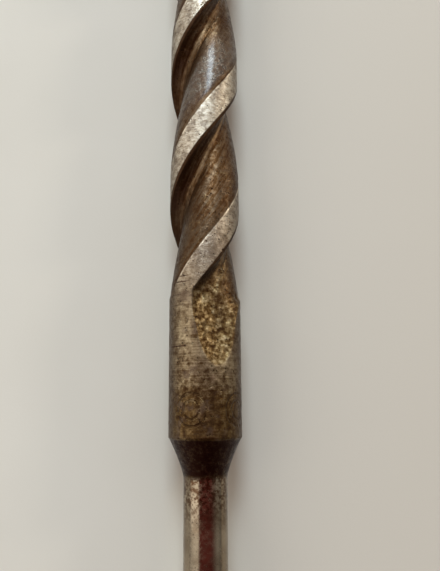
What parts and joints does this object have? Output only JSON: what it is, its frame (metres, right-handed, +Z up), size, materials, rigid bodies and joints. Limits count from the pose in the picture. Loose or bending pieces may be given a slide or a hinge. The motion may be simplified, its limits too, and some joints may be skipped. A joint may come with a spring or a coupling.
{
  "type": "soil auger",
  "caption": "Hand soil auger: two-start fluted steel head with screw point and cutting lips, quick-release coupling, rod and sliding wooden T-handle.",
  "frame": {"origin": "centre of the bounding box, on the ground, with the tool lying on its side", "axes": "+Y along the tool's axis towards the screw point, +X along the cross bar, +Z up from the ground"},
  "size_m": [0.328, 0.53, 0.026],
  "materials": {
    "head_steel": "aged brown patina with pitting, ground lands worn lighter",
    "lip_steel": "ground, lightly stained",
    "tool_steel": "turned, browned with use",
    "pin_steel": "ground, satin",
    "blued_steel": "blackened, worn on its edges",
    "spring_steel": "drawn wire",
    "brass": "tarnished, turned",
    "wood": "oiled, handled"
  },
  "bodies": {
    "tool": {"auger_head": "head_steel", "pilot_screw": "lip_steel", "cutting_lip_upper": "lip_steel", "cutting_lip_lower": "lip_steel", "lip_screw_upper": "blued_steel", "lip_screw_lower": "blued_steel", "coupling_socket": "tool_steel", "coupling_pin": "pin_steel", "button_spring": "spring_steel", "extension_rod": "tool_steel", "handle_hub": "tool_steel", "hub_pin": "pin_steel"},
    "button": {"release_button": "pin_steel"},
    "handle": {"cross_bar": "pin_steel", "grip_left": "wood", "grip_right": "wood", "inner_ferrule_left": "brass", "inner_ferrule_right": "brass", "ferrule_pin_left": "pin_steel", "ferrule_pin_right": "pin_steel", "outer_ferrule_left": "brass", "outer_ferrule_right": "brass", "end_washer_left": "blued_steel", "end_washer_right": "blued_steel", "end_nut_left": "blued_steel", "end_nut_right": "blued_steel"},
    "clamp_swivel": {"clamp_pad": "brass"},
    "clamp_spindle": {"clamp_screw": "pin_steel", "clamp_knob": "blued_steel", "knob_pin": "pin_steel"}
  },
  "joints": [
    {"name": "button_press", "type": "slide", "parent": "tool", "child": "button", "axis": [0, 0, -1], "range_m": [0, 0.0039], "stiffness_N_per_m": 800, "springref_m": -0.0015, "deforming": ["button_spring"]},
    {"name": "handle_shift", "type": "slide", "parent": "tool", "child": "handle", "axis": [1, 0, 0], "range_m": [-0.0195, 0.0195]},
    {"name": "clamp_travel", "type": "slide", "parent": "tool", "child": "clamp_swivel", "axis": [0, -1, 0], "range_m": [0, 0.0025]},
    {"name": "clamp_turn", "type": "hinge", "parent": "clamp_swivel", "child": "clamp_spindle", "pos_m": [0, -0.2585, 0.013], "axis": [0, -1, 0], "range_deg": [0, 720]}
  ],
  "couplings": [
    {"joint": "clamp_turn", "follows": "clamp_travel", "rad_per_m": 5026.5}
  ]
}
